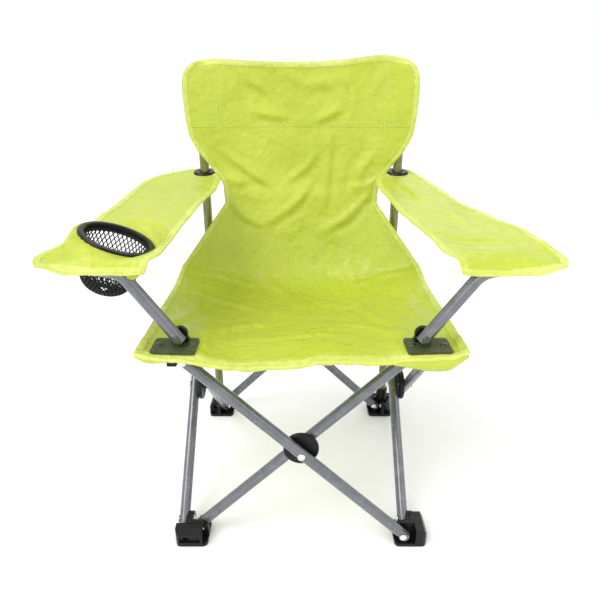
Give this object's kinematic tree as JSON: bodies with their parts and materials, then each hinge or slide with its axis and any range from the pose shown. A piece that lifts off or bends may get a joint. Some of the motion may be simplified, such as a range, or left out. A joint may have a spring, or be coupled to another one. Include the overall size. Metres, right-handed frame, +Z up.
{
  "type": "folding camp chair",
  "caption": "Child's folding camp chair with scissor tube legs, slung lime cloth seat and back, cloth armrests and a mesh cup holder.",
  "frame": {"origin": "on the floor, midway between the four corners of the frame", "axes": "+Z up, +Y towards the back of the chair, +X towards the sitter's left armrest"},
  "size_m": [0.531, 0.3278, 0.552],
  "materials": {
    "black_plastic": "gloss",
    "rivet": "polished",
    "tube": "gloss",
    "clamp_plate": "satin",
    "cloth": "satin",
    "mesh": "matte"
  },
  "bodies": {
    "front_left_foot": {"foot_front_left": "black_plastic", "foot_rivets_front_left": "rivet"},
    "front_leg_b": {"front_leg_b": "tube"},
    "front_leg_a": {"front_leg_a": "tube", "front_cross_disc": "black_plastic", "front_cross_rivet": "rivet"},
    "front_right_foot": {"foot_front_right": "black_plastic", "foot_rivets_front_right": "rivet"},
    "left_leg_a": {"left_leg_a": "tube", "left_cross_disc": "black_plastic", "left_cross_rivet": "rivet"},
    "left_leg_b": {"left_leg_b": "tube"},
    "right_leg_a": {"right_leg_a": "tube"},
    "right_leg_b": {"right_leg_b": "tube", "right_cross_disc": "black_plastic", "right_cross_rivet": "rivet"},
    "rear_leg_a": {"rear_leg_a": "tube", "rear_cross_disc": "black_plastic", "rear_cross_rivet": "rivet"},
    "rear_leg_b": {"rear_leg_b": "tube"},
    "back_post_left": {"foot_rear_left": "black_plastic", "foot_rivets_rear_left": "rivet", "back_post_left": "tube", "back_post_plug_left": "black_plastic", "back_cloth": "cloth", "back_sleeve_left": "cloth", "armrest_grommet_left": "black_plastic"},
    "back_post_right": {"foot_rear_right": "black_plastic", "foot_rivets_rear_right": "rivet", "back_post_right": "tube", "back_post_plug_right": "black_plastic", "back_sleeve_right": "cloth", "armrest_grommet_right": "black_plastic"},
    "seat_hub_left": {"seat_hub_left": "black_plastic", "seat_hub_rivets_left": "rivet", "seat_plate_left": "clamp_plate", "arm_lug_left": "black_plastic", "seat_front_hem": "cloth"},
    "seat_hub_right": {"seat_hub_right": "black_plastic", "seat_hub_rivets_right": "rivet", "seat_plate_right": "clamp_plate", "arm_lug_right": "black_plastic"},
    "back_collar_left": {"back_collar_left": "black_plastic", "back_collar_rivets_left": "rivet"},
    "back_collar_right": {"back_collar_right": "black_plastic", "back_collar_rivets_right": "rivet"},
    "arm_post_left": {"arm_post_left": "tube"},
    "arm_post_right": {"arm_post_right": "tube"},
    "seat_rear_cloth": {"seat_rear_cloth": "cloth"},
    "seat_front_cloth": {"seat_front_cloth": "cloth"},
    "armrest_left_rear": {"armrest_left_rear": "cloth"},
    "armrest_left_front": {"armrest_left_front": "cloth"},
    "cup_holder": {"cup_ring": "black_plastic", "cup_basket": "mesh"},
    "armrest_right_rear": {"armrest_right_rear": "cloth"},
    "armrest_right_front": {"armrest_right_front": "cloth"}
  },
  "joints": [
    {"name": "fold", "type": "hinge", "parent": "front_left_foot", "child": "front_leg_b", "pos_m": [-0.12403, -0.12853, 0.015], "axis": [0, -1, 0], "range_deg": [0, 40], "deforming": ["seat_front_cloth", "seat_rear_cloth", "back_cloth", "seat_front_hem", "back_sleeve_left", "back_sleeve_right", "armrest_left_front", "armrest_left_rear", "armrest_right_front", "armrest_right_rear", "cup_basket"]},
    {"name": "front_cross", "type": "hinge", "parent": "front_leg_b", "child": "front_leg_a", "pos_m": [0, -0.13803, 0.13646], "axis": [0, 1, 0], "range_deg": [0, 80]},
    {"name": "front_right_foot_pivot", "type": "hinge", "parent": "front_leg_a", "child": "front_right_foot", "pos_m": [0.12403, -0.14753, 0.015], "axis": [0, -1, 0], "range_deg": [0, 40]},
    {"name": "seat_hub_left_pivot", "type": "hinge", "parent": "front_leg_a", "child": "seat_hub_left", "pos_m": [-0.12403, -0.14753, 0.25792], "axis": [0, -1, 0], "range_deg": [0, 40]},
    {"name": "seat_hub_right_pivot", "type": "hinge", "parent": "front_leg_b", "child": "seat_hub_right", "pos_m": [0.12403, -0.12853, 0.25792], "axis": [0, 1, 0], "range_deg": [0, 40]},
    {"name": "left_foot_pivot", "type": "hinge", "parent": "front_left_foot", "child": "left_leg_a", "pos_m": [-0.14753, -0.12403, 0.015], "axis": [1, 0, 0], "range_deg": [0, 40]},
    {"name": "left_cross", "type": "hinge", "parent": "left_leg_a", "child": "left_leg_b", "pos_m": [-0.13803, 0, 0.13646], "axis": [-1, 0, 0], "range_deg": [0, 80]},
    {"name": "rear_left_foot_pivot", "type": "hinge", "parent": "left_leg_b", "child": "back_post_left", "pos_m": [-0.12853, 0.12403, 0.015], "axis": [1, 0, 0], "range_deg": [0, 40]},
    {"name": "back_collar_left_pivot", "type": "hinge", "parent": "left_leg_a", "child": "back_collar_left", "pos_m": [-0.14753, 0.12403, 0.25792], "axis": [-1, 0, 0], "range_deg": [0, 40]},
    {"name": "right_foot_pivot", "type": "hinge", "parent": "front_right_foot", "child": "right_leg_a", "pos_m": [0.12853, -0.12403, 0.015], "axis": [1, 0, 0], "range_deg": [0, 40]},
    {"name": "right_cross", "type": "hinge", "parent": "right_leg_a", "child": "right_leg_b", "pos_m": [0.13803, 0, 0.13646], "axis": [-1, 0, 0], "range_deg": [0, 80]},
    {"name": "rear_right_foot_pivot", "type": "hinge", "parent": "right_leg_b", "child": "back_post_right", "pos_m": [0.14753, 0.12403, 0.015], "axis": [1, 0, 0], "range_deg": [0, 40]},
    {"name": "back_collar_right_pivot", "type": "hinge", "parent": "right_leg_a", "child": "back_collar_right", "pos_m": [0.12853, 0.12403, 0.25792], "axis": [-1, 0, 0], "range_deg": [0, 40]},
    {"name": "rear_foot_pivot", "type": "hinge", "parent": "back_post_left", "child": "rear_leg_a", "pos_m": [-0.12403, 0.14753, 0.015], "axis": [0, -1, 0], "range_deg": [0, 40]},
    {"name": "rear_cross", "type": "hinge", "parent": "rear_leg_a", "child": "rear_leg_b", "pos_m": [0, 0.13803, 0.13646], "axis": [0, 1, 0], "range_deg": [0, 80]},
    {"name": "arm_post_left_pivot", "type": "hinge", "parent": "seat_hub_left", "child": "arm_post_left", "pos_m": [-0.12703, -0.14753, 0.28418], "axis": [0, 1, 0], "range_deg": [0, 35]},
    {"name": "arm_post_right_pivot", "type": "hinge", "parent": "seat_hub_right", "child": "arm_post_right", "pos_m": [0.12703, -0.14753, 0.28418], "axis": [0, -1, 0], "range_deg": [0, 35]},
    {"name": "seat_waist_fold", "type": "hinge", "parent": "back_post_left", "child": "seat_rear_cloth", "pos_m": [0, 0.12903, 0.362], "axis": [1, 0, 0], "range_deg": [0, 45.58]},
    {"name": "seat_middle_fold", "type": "hinge", "parent": "seat_rear_cloth", "child": "seat_front_cloth", "pos_m": [0, 0.03, 0.256], "axis": [-1, 0, 0], "range_deg": [0, 113.46]},
    {"name": "armrest_left_rear_fold", "type": "hinge", "parent": "back_post_left", "child": "armrest_left_rear", "pos_m": [-0.13803, 0.13803, 0.402], "axis": [0.7951, 0.5522, -0.2507], "range_deg": [0, 59.45]},
    {"name": "armrest_left_front_fold", "type": "hinge", "parent": "arm_post_left", "child": "armrest_left_front", "pos_m": [-0.18676, -0.14753, 0.3682], "axis": [-1, 0, 0], "range_deg": [0, 94.6]},
    {"name": "armrest_right_rear_fold", "type": "hinge", "parent": "back_post_right", "child": "armrest_right_rear", "pos_m": [0.13803, 0.13803, 0.402], "axis": [0.7951, -0.5522, 0.2507], "range_deg": [0, 59.45]},
    {"name": "armrest_right_front_fold", "type": "hinge", "parent": "arm_post_right", "child": "armrest_right_front", "pos_m": [0.18676, -0.14753, 0.3682], "axis": [-1, 0, 0], "range_deg": [0, 94.6]},
    {"name": "cup_holder_tilt", "type": "hinge", "parent": "armrest_left_front", "child": "cup_holder", "pos_m": [-0.22823, -0.098, 0.3883], "axis": [0, -1, 0], "range_deg": [0, 40]}
  ],
  "couplings": [
    {"joint": "front_cross", "follows": "fold", "ratio": 2},
    {"joint": "front_right_foot_pivot", "follows": "fold", "ratio": 1},
    {"joint": "seat_hub_left_pivot", "follows": "fold", "ratio": 1},
    {"joint": "seat_hub_right_pivot", "follows": "fold", "ratio": 1},
    {"joint": "left_foot_pivot", "follows": "fold", "ratio": 1},
    {"joint": "left_cross", "follows": "fold", "ratio": 2},
    {"joint": "rear_left_foot_pivot", "follows": "fold", "ratio": 1},
    {"joint": "back_collar_left_pivot", "follows": "fold", "ratio": 1},
    {"joint": "right_foot_pivot", "follows": "fold", "ratio": 1},
    {"joint": "right_cross", "follows": "fold", "ratio": 2},
    {"joint": "rear_right_foot_pivot", "follows": "fold", "ratio": 1},
    {"joint": "back_collar_right_pivot", "follows": "fold", "ratio": 1},
    {"joint": "rear_foot_pivot", "follows": "fold", "ratio": 1},
    {"joint": "rear_cross", "follows": "fold", "ratio": 2},
    {"joint": "arm_post_left_pivot", "follows": "fold", "ratio": 0.875},
    {"joint": "arm_post_right_pivot", "follows": "fold", "ratio": 0.875},
    {"joint": "seat_waist_fold", "follows": "fold", "ratio": 1.1395},
    {"joint": "seat_middle_fold", "follows": "fold", "ratio": 2.8366},
    {"joint": "armrest_left_rear_fold", "follows": "fold", "ratio": 1.4862},
    {"joint": "armrest_left_front_fold", "follows": "fold", "ratio": 2.365},
    {"joint": "armrest_right_rear_fold", "follows": "fold", "ratio": 1.4862},
    {"joint": "armrest_right_front_fold", "follows": "fold", "ratio": 2.365},
    {"joint": "cup_holder_tilt", "follows": "fold", "ratio": 1}
  ]
}
